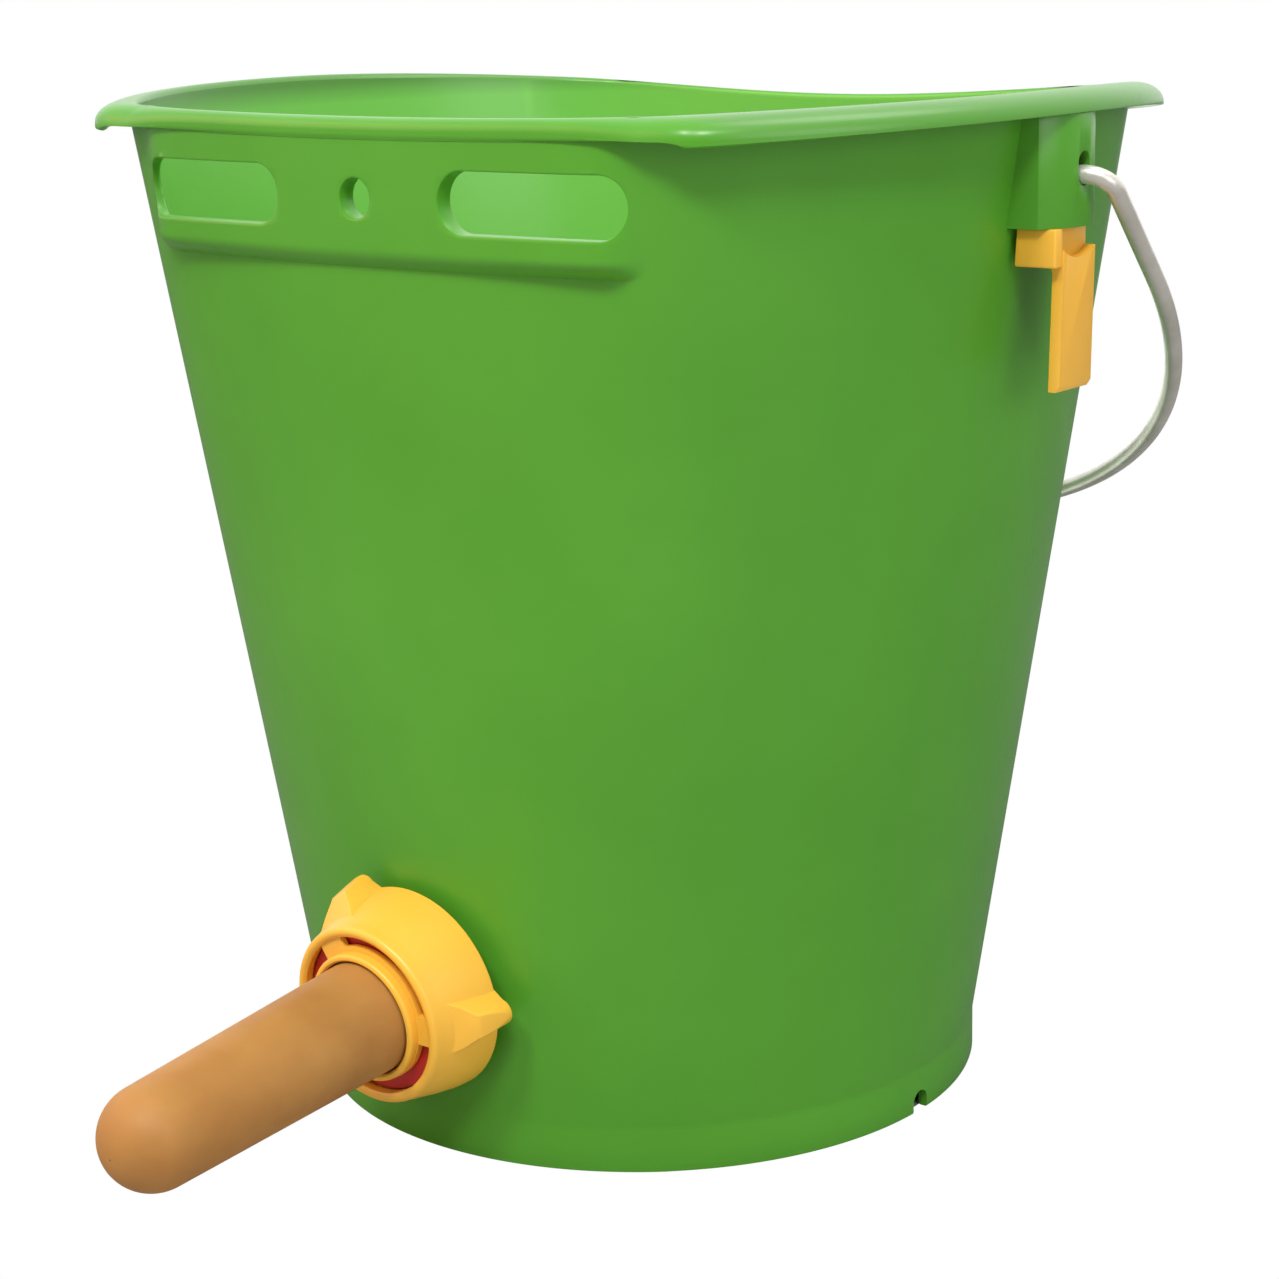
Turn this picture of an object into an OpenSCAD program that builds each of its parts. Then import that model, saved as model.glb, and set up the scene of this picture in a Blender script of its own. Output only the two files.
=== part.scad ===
// Calf feeder bucket: a moulded bucket with a flattened front and back, a wire bail, two hanging
// hooks, and a hygiene valve with a rubber teat behind a bayonet nut.
// Millimetres. The origin is the middle of the foot, +Z is up and the teat points to -Y.

/* [Bucket] */
// Height of the rim at the middle of the front
rim_h = 264.1; // [235:0.1:300]
// How much higher the rim is at the round sides
rim_rise = 2.7; // [0:0.1:6]
// How much lower the rim is at the back than at the front
rim_dip = 5.9; // [0:0.1:8]
// Outer radius of the round foot
base_r = 91.1; // [85:0.1:98]
// Outer radius of the round sides at the rim
side_r = 129.9; // [118:0.1:142]
// Distance from the axis to the flat front and back at the rim
front_y = 102.2; // [96:0.1:108]
// Radius of the shallow bow of the flat front and back
front_bow = 1080; // [500:1:2000]
// Sharpness of the corners between flats and round sides
corner_sharp = 25; // [8:1:60]
// Wall thickness
wall_t = 2.6; // [2:0.1:4]
// Height of the straight foot ring
foot_h = 12; // [8:0.5:20]
// Height of the inside floor
floor_z = 10; // [8:0.5:16]
// Thickness of the floor
floor_t = 2.5; // [2:0.1:4]
// Radius of the drain notches in the foot ring
notch_r = 3.2; // [2:0.1:5]

/* [Rim] */
// How far the rim stands out from the round sides
lip_out = 8.3; // [6:0.1:12]
// How far the rim stands out from the flat front and back
lip_front = 2.4; // [2:0.1:4]
// Height of the rim's upright edge at the flat front and back
edge_h = 5; // [4:0.1:6]
// Height of the rolled lip at the rim's four corners
lip_h = 6.8; // [5.5:0.1:10]
// Height of the rolled lip at the middle of the round sides
lip_side_h = 5.3; // [4.5:0.1:10]
// Thickness of the lip
lip_t = 1.8; // [1.2:0.1:2.2]
// Thickness of the rim's top
rim_t = 3; // [2:0.1:4]
// Sharpness of the rim's corners
lip_sharp = 70; // [30:1:120]

/* [Front band] */
// Half of the width of the raised band that holds the slots
band_half = 83; // [78:0.5:88]
// Distance from the rim down to the band's lower edge
band_drop = 35.1; // [32:0.1:42]
// How far the band stands out from the front
band_out = 1.4; // [0.8:0.1:2]
// Length over which the band's two ends run out
band_fade = 14; // [6:0.5:20]
// Height of the slanted step under the band
band_step = 4.5; // [2:0.1:6]
// Wall thickness at the band
band_t = 5; // [3:0.1:6]
// Radius of the band's lower corners
band_corner = 6; // [2:0.5:10]
// Distance from the rim down to the middle of the slots and the round hole
slot_drop = 18.8; // [17:0.1:21]
// Half of the distance between the two slots' middles
slot_x = 52.3; // [46:0.1:53]
// Length of a slot
slot_len = 52.4; // [40:0.1:54]
// Height of a slot
slot_h = 14.5; // [10:0.1:16]
// Radius of the round hole between the slots
hole_r = 4.8; // [3:0.1:6]

/* [Ears] */
// Distance of the ears and the bail axis in front of the bucket's middle
ear_front = 3; // [0:0.5:8]
// How far the ears stand out from the round sides at the rim
ear_out = 8.1; // [7.6:0.1:8.2]
// Width of an ear
ear_w = 22; // [18:0.5:26]
// Radius of the ear's bowed outer face
ear_bow = 18; // [14:0.5:30]
// Height of an ear from its lower face to the top of the rim
ear_h = 31.4; // [29:0.1:36]
// Thickness of the ear's outer wall
ear_t = 2.8; // [2:0.1:3.4]
// Width of the pocket in an ear
pocket_w = 13; // [11:0.1:13.5]
// Depth of the pocket behind the outer wall
pocket_d = 6.6; // [6:0.1:6.8]
// Height of the pocket above the ear's lower face
pocket_h = 22; // [20:0.1:23]

/* [Bail] */
// Diameter of the bail wire
wire_d = 4.5; // [4:0.1:5.5]
// Height of the bail axis above the ear's lower face
bail_rise = 11.9; // [11.4:0.1:13]
// How far the bail's bends stand out from the ears
bail_out = 6.5; // [6.2:0.1:12]
// How much smaller the radius of the bail's bow is than half of the width at its bends
bow_in = 3; // [1:0.1:5]
// Distance from the bail axis to the middle of the bow
bow_drop = 26; // [18:0.1:30]
// Radius of the bend at the ear
bend_r = 5.5; // [5:0.1:5.6]
// Angle of the resting bail from straight down, towards the back
bail_rest = 48; // [44:1:60]
// Radius of the flattened wire end in the ear
end_r = 4; // [3.6:0.1:4.4]
// Clearance of the wire in the ear's hole
wire_clear = 0.3; // [0.2:0.05:0.5]
// Height of free play above the wire in the ear's hole
hole_rise = 3; // [2:0.1:4]

/* [Hanging hooks] */
// Width of a hook
hook_w = 15.4; // [14:0.1:19]
// Height of the hook's arm
arm_h = 9; // [7:0.1:11]
// Length of the tongue below the arm's underside
tongue_len = 29.5; // [22:0.5:36]
// Thickness of the tongue
tongue_t = 3; // [2.4:0.1:4]
// How far the tongue's outer face is behind the ear's outer face
tongue_in = 1; // [0.8:0.1:3]
// Gap between the hook's arm and the wall
arm_gap = 0.6; // [0.5:0.1:2]
// Clearance of the hook's plug in the ear's pocket
plug_clear = 0.2; // [0.1:0.05:0.3]
// Height of the hook's plug in the ear's pocket
plug_h = 6.3; // [4:0.1:6.6]

/* [Valve] */
// Height of the valve axis at the wall
valve_z = 45.1; // [38:0.1:60]
// Angle of the valve axis below level
valve_tilt = 5; // [0:0.5:6]
// Outer radius of the spigot on the bucket
spigot_r = 19.5; // [18:0.1:20]
// Bore radius of the spigot
spigot_bore = 14.5; // [14:0.1:15]
// Length of the spigot
spigot_len = 10.8; // [10:0.1:11.5]
// Radius over the bayonet cams on the spigot
cam_r = 21.2; // [20.6:0.1:21.4]
// Width of a bayonet cam
cam_angle = 34; // [20:1:40]
// Clearance between the parts that turn or swing
turn_clear = 0.4; // [0.3:0.05:0.6]
// Thickness of the seal
seal_t = 1.5; // [1:0.1:2]

/* [Nut] */
// Radius of the nut at the wall
nut_r = 27.3; // [26:0.1:29]
// Radius of the nut's front edge
nut_front_r = 23.2; // [22.6:0.1:24]
// Distance from the wall to the nut's front face
nut_len = 21.5; // [20:0.1:22]
// Thickness of the nut's front
nut_front_t = 2.8; // [2:0.1:3]
// Outer radius of the collar round the teat
collar_r = 17; // [16.6:0.1:17.2]
// Height of the collar over the front face
collar_h = 1.6; // [1:0.1:3]
// Width of the spokes between the windows
spoke_w = 8; // [6:0.1:12]
// Radius over the grip lugs
lug_r = 32; // [30:0.1:34]
// Width of a grip lug
lug_w = 9; // [7:0.1:12]

/* [Teat] */
// Radius of the teat at the nut
teat_r = 14.8; // [14:0.1:15]
// Radius of the teat at its tip
teat_tip_r = 13; // [12:0.1:14]
// Length of the teat in front of the nut
teat_len = 84; // [70:1:110]
// Wall thickness of the teat
teat_t = 5; // [4:0.1:5.4]
// Radius of the hole in the tip
teat_hole_r = 1.6; // [1:0.1:3]

/* [Flap] */
// Radius of the flap
flap_r = 8.6; // [8:0.1:8.8]
// Radius of the flow hole under the flap
seat_r = 7; // [5:0.1:7.4]
// Thickness of the flap
flap_t = 1.6; // [1.2:0.1:2]
// Radius of the flap's hinge trunnion
trunnion_r = 1.2; // [1:0.05:1.4]
// Radial running clearance of the trunnion
trunnion_clear = 0.06; // [0.02:0.01:0.1]

/* [Hidden] */
$fn = 96;

green = [0.36, 0.62, 0.20];
yellow = [0.95, 0.74, 0.22];
red = [0.70, 0.08, 0.08];
tan_rubber = [0.72, 0.50, 0.28];
steel = [0.66, 0.66, 0.64];
black = [0.10, 0.10, 0.10];

corner_turn = atan2(band_half, front_y);
lip_side_r = side_r + lip_out;
band_y = front_y + band_out;
band_z = rim_h - band_drop;
slot_z = rim_h - slot_drop;
ear_x = side_r + ear_out;
ear_z = rim_h + rim_rise - ear_h;
bail_z = ear_z + bail_rise;
bail_half = ear_x + bail_out;
bow_r = bail_half - bow_in;
// Angles of the wall's sections, closer together at the four corners
angles = [for (a = [0 : 3 : 357])
    let (turn = abs(90 - a % 180))
    each (abs(turn - corner_turn) < 9 ? [a, a + 1, a + 2] : [a])];
wire_r = wire_d / 2;
// Bent stretches of wire are a touch thicker, so that the straight ones end inside them
bent_r = wire_r + 0.03;
bend_lap = 0.3;
// The bail's legs run from its bend to the bow as tangents, and lean in by this angle
leg_reach = sqrt(bail_half * bail_half + bow_drop * bow_drop - bow_r * bow_r);
leg_lean = 90 - atan2(bow_drop, bail_half) - asin(bow_r / norm([bail_half, bow_drop]));
bend_tangent = bend_r * tan(45 + leg_lean / 2);
pocket_x1 = ear_x - ear_t;
pocket_x0 = pocket_x1 - pocket_d;
// Hollow in the top of the hook's tongue, seen from the side
dip_r = 13.5;
dip_depth = 5.2;
wall_slope = (front_y - base_r) / (rim_h - foot_h);
// Distances along the valve axis, from the wall outwards: the nut's lugs turn clear of the leaning wall
nut_back = turn_clear + lug_r * abs(tan(valve_tilt - atan(wall_slope)));
seal_u = spigot_len;
cup_u = spigot_len + seal_t;
cup_t = 2;
nut_face_u = nut_len - nut_front_t;
cup_end = nut_face_u - turn_clear;
cup_r = nut_front_r - 2.4;
flange_r = collar_r;
nut_bore = cam_r + turn_clear;
cam_len = 2.5;
// The spigot's base reaches through the curved wall by this much
boss_depth = 9;
bore_depth = boss_depth + 3;
// Reach of the cuts through the band, to both sides of its face
band_cut = 24;
cam_u = 5.5;
sleeve_r = spigot_bore - 0.1;
sleeve_bore = 11;
seat_u = 2;
hinge_v = 9.3;
hinge_u = 4;
trunnion_half = 8.5;
valve_y = base_r + wall_slope * (valve_z - foot_h);

// Radius that runs smoothly from a to b, whichever is smaller
function nearer(a, b, n) = pow(pow(a, -n) + pow(b, -n), -1 / n);
// Distance from the axis to a shallow arc whose middle is y in front of the axis
function bowed(th, y) =
    let (c = front_bow - y)
    sqrt(pow(front_bow, 2) - pow(c * cos(th), 2)) - c * abs(sin(th));
function wall_r(th) = nearer(side_r, bowed(th, front_y), corner_sharp);
function lip_r(th) = nearer(lip_side_r, bowed(th, front_y + lip_front), lip_sharp);
// The rim rises towards the sides and falls towards the back
function rim_z(th) =
    rim_h + rim_rise * pow(wall_r(th) * cos(th) / side_r, 2) - rim_dip * pow(max(0, sin(th)), 2);
// The rolled rim is hollow underneath on the round sides and solid on the flats
function hollow(th) = max(0.06, min(1, (lip_r(th) - wall_r(th) - lip_front) / 4));
// Height of the rim's underside
function lip_under(th) = rim_z(th) - edge_h + (edge_h - rim_t) * hollow(th);
// Height of the rolled lip, which is tallest at the four corners
function lip_height(th) = mix(lip_side_h, lip_h, min(1, pow(lip_r(th) * sin(th) / front_y, 2)));
// Height of the lip's lower edge, which drops where the rim turns onto the round sides
function lip_low(th) =
    let (turned = min(1, pow(bowed(th, front_y + lip_front) / lip_side_r, lip_sharp)))
    rim_z(th) - mix(edge_h, lip_height(th), turned);
// Outer radius of the wall at a height
function wall_at(th, z) =
    base_r + (wall_r(th) - base_r) * (z - foot_h) / (lip_under(th) - foot_h);

// Share of a length at the band's end that an angle lies inside it: 0 at the end and off the band
function band_inset(th, len) =
    sin(th) > 0 ? 0 : max(0, min(1, (band_half - wall_r(th) * abs(cos(th))) / len));
// Share of the band's offset at an angle: 1 on the band, with a soft run-out at its two ends
function band_share(th) = pow(sin(90 * band_inset(th, band_fade)), 2);
// Height of the band's lower edge over its lowest place: its two lower corners are round
function band_lift(th) = band_corner * (1 - sqrt(1 - pow(1 - band_inset(th, band_corner), 2)));
function band_r(th) = nearer(side_r + band_y - front_y, bowed(th, band_y), corner_sharp);
function mix(a, b, t) = a + (b - a) * t;

// Outline of the wall from the foot up, over the rim and down inside, as radius and height
function section(th) =
    let (share = band_share(th), z = rim_z(th), under = lip_under(th), rl = lip_r(th),
         step_z = band_z + band_lift(th), face_z = step_z + band_step,
         r_step = wall_at(th, step_z), r_face = mix(wall_at(th, face_z), band_r(th), share),
         r_top = mix(wall_r(th), band_r(th), share), t = mix(wall_t, band_t, share),
         r_lip = max(rl - lip_t, r_top + 0.15))
    [[base_r, 0], [base_r, foot_h], [r_step, step_z], [r_face, face_z], [r_top, under],
     [r_lip, under], [r_lip, lip_low(th)], [rl, lip_low(th)], [rl, z - 2.6], [rl - 0.9, z - 0.8],
     [rl - 2.7, z], [r_top - t, z], [r_face - t, face_z], [r_step - wall_t, step_z],
     [base_r - wall_t, foot_h], [base_r - wall_t, 0]];

module wall() {
    m = len(section(0));
    n = len(angles);
    points = [for (th = angles, p = section(th)) [p[0] * cos(th), p[0] * sin(th), p[1]]];
    faces = [for (i = [0 : n - 1], j = [0 : m - 1])
        let (a = i * m, b = ((i + 1) % n) * m, k = (j + 1) % m)
        each [[a + j, a + k, b + j], [a + k, b + k, b + j]]];
    polyhedron(points, faces);
}

// A slot with round ends, cut along Y
module slot_cut(x) {
    ends = slot_len / 2 - slot_h / 2;
    translate([x, -band_y, slot_z])
        rotate([90, 0, 0])
            linear_extrude(2 * band_cut, center = true)
                union() {
                    square([2 * ends, slot_h], center = true);
                    for (s = [-1, 1]) translate([s * ends, 0]) circle(d = slot_h);
                }
}

// Block under the rim with a bowed outer face
module ear() {
    top_z = rim_h + rim_rise - rim_t / 2;
    translate([0, -ear_front, ear_z])
        linear_extrude(top_z - ear_z)
            intersection() {
                translate([base_r, -ear_w / 2]) square([ear_x - base_r, ear_w]);
                translate([ear_x - ear_bow, 0]) circle(ear_bow);
            }
}

// Plan of the ear's pocket, or of the plug that fits it with a gap all round
module pocket_plan(gap) {
    intersection() {
        translate([pocket_x0 + gap, -pocket_w / 2 + gap]) square([pocket_d, pocket_w - 2 * gap]);
        translate([ear_x - ear_bow, 0]) circle(ear_bow - ear_t - gap);
    }
}

// Pocket for the wire end and the hook's plug, with the tall hole for the wire
module ear_cut() {
    translate([0, -ear_front, ear_z - 1])
        linear_extrude(pocket_h + 1) pocket_plan(0);
    for (dz = [0, hole_rise])
        translate([pocket_x1 - 1, -ear_front, bail_z + dz])
            rotate([0, 90, 0]) cylinder(r = wire_r + wire_clear, h = ear_t + 2);
    translate([pocket_x1 - 1, -ear_front - wire_r - wire_clear, bail_z])
        cube([ear_t + 2, 2 * (wire_r + wire_clear), hole_rise]);
}

// Places a shape on the valve axis, with its own +Z pointing out of the bucket
module on_valve() {
    translate([0, -valve_y, valve_z]) rotate([90 + valve_tilt, 0, 0]) children();
}

// Ring of three equal sectors between two radii
module sectors(r0, r1, u, len, angle, turn) {
    for (k = [0 : 2])
        rotate([0, 0, turn + 120 * k - angle / 2])
            rotate_extrude(angle = angle) translate([r0, u]) square([r1 - r0, len]);
}

module drain_notch() {
    translate([base_r - 8, 0, 0]) {
        translate([0, 0, 2.6]) rotate([0, 90, 0]) cylinder(r = notch_r, h = 16);
        translate([0, -notch_r, -1]) cube([16, 2 * notch_r, 3.6]);
    }
}

// Cone inside the middle of the wall's thickness, for a wall that has flared by so much at a height
module inside_wall(flare, z) {
    reach = 1.5 * (rim_h - foot_h);
    translate([0, 0, foot_h])
        cylinder(r1 = base_r - wall_t / 2, r2 = base_r - wall_t / 2 + flare * reach / (z - foot_h),
                 h = reach);
}

// Spigot on the valve axis, from inside the wall out to its bayonet cams and its end
module spigot() {
    translate([0, 0, -boss_depth]) cylinder(r = spigot_r + 3, h = boss_depth + 0.3);
    translate([0, 0, -boss_depth]) cylinder(r = spigot_r, h = spigot_len + boss_depth);
    sectors(spigot_r - 1, cam_r, cam_u, cam_len, cam_angle, 0);
}

module bucket_shell() {
    color(green)
    difference() {
        union() {
            wall();
            translate([0, 0, floor_z - floor_t])
                cylinder(r = base_r - wall_t + 0.8, h = floor_t);
            difference() {
                for (s = [0, 1]) mirror([s, 0, 0]) ear();
                inside_wall(wall_at(0, ear_z) - base_r, ear_z);
            }
            difference() {
                on_valve() spigot();
                inside_wall(wall_slope * (valve_z - foot_h), valve_z);
            }
        }
        for (s = [-1, 1]) slot_cut(s * slot_x);
        translate([0, -band_y, slot_z])
            rotate([90, 0, 0]) cylinder(r = hole_r, h = 2 * band_cut, center = true);
        for (s = [0, 1]) mirror([s, 0, 0]) ear_cut();
        on_valve() translate([0, 0, -bore_depth]) cylinder(r = spigot_bore, h = bore_depth + 2 * spigot_len);
        for (s = [0, 1]) mirror([s, 0, 0]) drain_notch();
    }
}

// One end of the bail, flat in the XY plane with the bail axis along X
module bail_end() {
    pin_end = bail_half - bend_tangent;
    translate([pocket_x0 + 2, 0, 0]) {
        rotate([0, 90, 0]) cylinder(r = wire_r, h = pin_end - pocket_x0 - 2 + bend_lap);
        intersection() {
            rotate([0, 90, 0]) cylinder(r = end_r, h = 3);
            translate([-1, -end_r - 1, -wire_r + 0.1]) cube([5, 2 * end_r + 2, 2 * wire_r - 0.2]);
        }
    }
    translate([pin_end, bend_r, 0])
        rotate([0, 0, -90])
            rotate_extrude(angle = 90 + leg_lean) translate([bend_r, 0]) circle(bent_r);
    translate([bail_half, 0, 0])
        rotate([-90, 0, leg_lean])
            translate([0, 0, bend_tangent - bend_lap])
                cylinder(r = wire_r, h = leg_reach - bend_tangent + 2 * bend_lap);
}

module bail_handle() {
    color(steel)
    translate([0, -ear_front, bail_z])
        rotate([bail_rest - 90, 0, 0]) {
            for (s = [0, 1]) mirror([s, 0, 0]) bail_end();
            translate([0, bow_drop, 0])
                rotate([0, 0, leg_lean])
                    rotate_extrude(angle = 180 - 2 * leg_lean, $fn = 180)
                        translate([bow_r, 0]) circle(bent_r);
        }
}

// A hook: the arm under the ear, the plug in the ear's pocket and the tongue that hangs down
module hook_clip() {
    arm_x0 = wall_at(0, ear_z) + arm_gap;
    tongue_x1 = ear_x - tongue_in;
    tongue_x0 = tongue_x1 - tongue_t;
    arm_z = ear_z - arm_h;
    translate([0, -ear_front, 0]) {
        difference() {
            rotate([90, 0, 0])
                linear_extrude(hook_w, center = true)
                    polygon([[arm_x0, ear_z], [arm_x0 - 0.6, arm_z], [tongue_x0, arm_z],
                             [tongue_x0 - 0.8, arm_z - tongue_len],
                             [tongue_x1 - 1.8, arm_z - tongue_len],
                             [tongue_x1 - 0.8, arm_z - tongue_len + 1.5],
                             [tongue_x1, ear_z - 3], [tongue_x0, ear_z - 3],
                             [tongue_x0, ear_z]]);
            translate([tongue_x0, 0, ear_z + dip_r - dip_depth])
                rotate([0, 90, 0]) cylinder(r = dip_r, h = 2 * tongue_t);
        }
        translate([0, 0, ear_z - 1]) linear_extrude(plug_h + 1) pocket_plan(plug_clear);
    }
}

module hook_clip_right() {
    color(yellow) hook_clip();
}

module hook_clip_left() {
    color(yellow) mirror([1, 0, 0]) hook_clip();
}

// A grip lug: a ridge along the nut with round ends, highest at the wall
module grip_lug() {
    linear_extrude(height = nut_face_u - 3 - nut_back)
        polygon([[20, -lug_w * 0.9], [nut_r - 1, -lug_w * 0.75], [lug_r - 2, -lug_w * 0.42],
                 [lug_r - 0.5, -lug_w * 0.28], [lug_r, 0], [lug_r - 0.5, lug_w * 0.28],
                 [lug_r - 2, lug_w * 0.42], [nut_r - 1, lug_w * 0.75], [20, lug_w * 0.9]]);
}

module nut_body() {
    rotate_extrude()
        polygon([[20, nut_back], [nut_r, nut_back], [nut_r - 0.3, nut_back + 4],
                 [nut_front_r + 1.3, nut_len - 4.5], [nut_front_r + 0.4, nut_len - 1.4],
                 [nut_front_r - 1.2, nut_len], [20, nut_len]]);
    translate([0, 0, nut_back])
        intersection() {
            for (k = [0 : 2]) rotate([0, 0, 120 * k]) grip_lug();
            cylinder(r1 = lug_r + 1.5, r2 = nut_front_r + 1.6, h = nut_face_u - 3 - nut_back);
        }
    translate([0, 0, nut_face_u]) cylinder(r = 21, h = nut_front_t);
    translate([0, 0, nut_face_u]) cylinder(r = collar_r, h = nut_front_t + collar_h);
}

module valve_nut() {
    window_r1 = nut_front_r - 2.2;
    color(yellow)
    on_valve()
        difference() {
            nut_body();
            translate([0, 0, nut_back - 1]) cylinder(r = nut_bore, h = nut_face_u - nut_back + 1);
            cylinder(r = teat_r + turn_clear, h = nut_len + 10);
            difference() {
                translate([0, 0, nut_face_u - 1])
                    difference() {
                        cylinder(r = window_r1, h = nut_front_t + 2);
                        translate([0, 0, -1]) cylinder(r = collar_r, h = nut_front_t + 4);
                    }
                for (k = [0 : 2])
                    rotate([0, 0, 120 * k])
                        translate([0, -spoke_w / 2, nut_face_u - 2]) cube([nut_r, spoke_w, nut_len]);
            }
        }
    color(yellow)
    on_valve()
        sectors(spigot_r + turn_clear, nut_bore + 1, cam_u - turn_clear - cam_len,
                cam_len, cam_angle, 0);
}

// Carrier in the spigot: a sleeve with the flap seat, and a cup that holds the teat's flange
module valve_insert() {
    color(red)
    on_valve()
        difference() {
            union() {
                rotate_extrude()
                    polygon([[sleeve_bore, seat_u], [sleeve_bore, cup_u + cup_t],
                             [flange_r, cup_u + cup_t], [flange_r, cup_end], [cup_r, cup_end],
                             [cup_r, cup_u], [sleeve_r, cup_u], [sleeve_r, 0], [seat_r, 0],
                             [seat_r, seat_u]]);
            }
            translate([-trunnion_half - turn_clear, hinge_v, hinge_u])
                rotate([0, 90, 0])
                    cylinder(r = trunnion_r + trunnion_clear, h = 2 * (trunnion_half + turn_clear));
        }
}

module valve_seal() {
    color(black)
    on_valve()
        translate([0, 0, seal_u])
            difference() {
                cylinder(r = spigot_r - 0.3, h = seal_t);
                translate([0, 0, -1]) cylinder(r = sleeve_r + 0.2, h = seal_t + 2);
            }
}

// The flap lies on its seat and swings outwards on a trunnion at its top
module valve_flap() {
    lift = seat_u + 0.3;
    color(yellow)
    on_valve() {
        translate([0, 0, lift]) cylinder(r = flap_r, h = flap_t);
        translate([-4, flap_r - 4, lift]) cube([8, hinge_v - flap_r + 4, flap_t]);
        translate([-trunnion_half, hinge_v, hinge_u])
            rotate([0, 90, 0]) cylinder(r = trunnion_r, h = 2 * trunnion_half);
        translate([-4, hinge_v - trunnion_r, lift]) cube([8, trunnion_r, hinge_u - lift]);
    }
}

// Rubber teat: a flange in the cup, a slightly tapered tube and a round tip with a small hole
module teat() {
    tip_u = nut_len + teat_len;
    tip_c = tip_u - teat_tip_r;
    flange_u0 = cup_u + cup_t;
    color(tan_rubber)
    on_valve()
        difference() {
            union() {
                translate([0, 0, flange_u0]) cylinder(r = flange_r - 0.15, h = cup_end - flange_u0);
                translate([0, 0, cup_end - 1])
                    cylinder(r1 = teat_r, r2 = teat_tip_r, h = tip_c - cup_end + 1);
                translate([0, 0, tip_c]) sphere(teat_tip_r);
            }
            translate([0, 0, flange_u0 - 1])
                cylinder(r1 = teat_r - teat_t, r2 = teat_tip_r - teat_t, h = tip_c - flange_u0 + 1);
            translate([0, 0, tip_c]) sphere(teat_tip_r - teat_t);
            cylinder(r = teat_hole_r, h = tip_u + 5);
        }
}

bucket_shell();
bail_handle();
hook_clip_right();
hook_clip_left();
valve_nut();
valve_insert();
valve_seal();
valve_flap();
teat();
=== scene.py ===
"""Calf feeder bucket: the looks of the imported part, at the angle of the photograph."""
import math

import bmesh
import bpy
from mathutils import Matrix, Vector

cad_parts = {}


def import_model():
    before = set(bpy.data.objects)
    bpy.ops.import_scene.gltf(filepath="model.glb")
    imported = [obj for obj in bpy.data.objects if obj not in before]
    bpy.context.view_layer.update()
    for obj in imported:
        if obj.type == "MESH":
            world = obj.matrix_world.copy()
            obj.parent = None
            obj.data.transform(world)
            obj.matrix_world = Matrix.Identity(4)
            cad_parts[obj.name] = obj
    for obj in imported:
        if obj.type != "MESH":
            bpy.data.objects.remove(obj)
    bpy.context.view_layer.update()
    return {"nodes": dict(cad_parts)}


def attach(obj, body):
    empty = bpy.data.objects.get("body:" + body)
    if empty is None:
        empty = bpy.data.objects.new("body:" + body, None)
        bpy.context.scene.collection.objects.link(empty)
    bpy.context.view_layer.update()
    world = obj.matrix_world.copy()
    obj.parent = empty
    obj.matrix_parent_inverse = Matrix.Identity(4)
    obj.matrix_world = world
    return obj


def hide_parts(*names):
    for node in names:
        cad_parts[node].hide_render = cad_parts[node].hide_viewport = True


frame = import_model()

MM = 0.001

# Sizes in millimetres, angles in degrees and exponents, under the names of the part's source.
# LIP_FRONT is 0.6 smaller than there, because the photograph shows a shallower edge.
RIM_H, RIM_RISE, RIM_DIP, BASE_R, SIDE_R = 264.1, 2.7, 5.9, 91.1, 129.9
FRONT_Y, FRONT_BOW, CORNER_SHARP, WALL_T = 102.2, 1080.0, 25, 2.6
FOOT_H, FLOOR_Z, FLOOR_T, NOTCH_R = 12.0, 10.0, 2.5, 3.2
LIP_OUT, LIP_FRONT, EDGE_H, LIP_H = 8.3, 1.8, 5.0, 6.8
LIP_SIDE_H, RIM_T, LIP_SHARP = 5.3, 3.0, 70
BAND_HALF, BAND_Z, BAND_Y, BAND_STEP, BAND_T = 83.0, 229.0, 103.6, 4.5, 5.0
BAND_CORNER, BAND_FADE = 6.0, 14.0
SLOT_Z, SLOT_X, SLOT_LEN, SLOT_H, HOLE_R = 245.3, 52.3, 52.4, 14.5, 4.8
EAR_FRONT, EAR_X, EAR_W, EAR_BOW, EAR_Z, EAR_T = 3.0, 138.0, 22.0, 18.0, 235.4, 2.8
POCKET_W, POCKET_D, POCKET_H = 13.0, 6.6, 22.0
WIRE_R, BAIL_Z, BAIL_HALF, BOW_R, BOW_DROP = 2.25, 247.3, 144.5, 141.5, 26.0
BEND_R, BAIL_REST, END_R, WIRE_CLEAR, HOLE_RISE = 5.5, 48.0, 4.0, 0.3, 3.0
HOOK_W, ARM_H, TONGUE_LEN, TONGUE_T, PLUG_H = 15.4, 9.0, 29.5, 3.0, 6.3
TONGUE_IN, ARM_GAP, DIP_R, DIP_DEPTH = 1.0, 0.6, 13.5, 5.2
VALVE_Z, VALVE_TILT, SPIGOT_R, SPIGOT_BORE, SPIGOT_LEN = 45.1, 5.0, 19.5, 14.5, 10.8
CAM_R, CAM_ANGLE, CAM_U, CAM_LEN, TURN_CLEAR, SEAL_T = 21.2, 34.0, 5.5, 2.5, 0.4, 1.5
NUT_R, NUT_FRONT_R, NUT_LEN, NUT_FRONT_T = 27.3, 23.2, 21.5, 2.8
COLLAR_R, COLLAR_H, SPOKE_W, LUG_R, LUG_W = 17.0, 1.6, 8.0, 32.0, 9.0
TEAT_R, TEAT_TIP_R, TEAT_LEN, TEAT_T, TEAT_HOLE_R = 14.8, 13.0, 84.0, 5.0, 1.6

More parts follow.
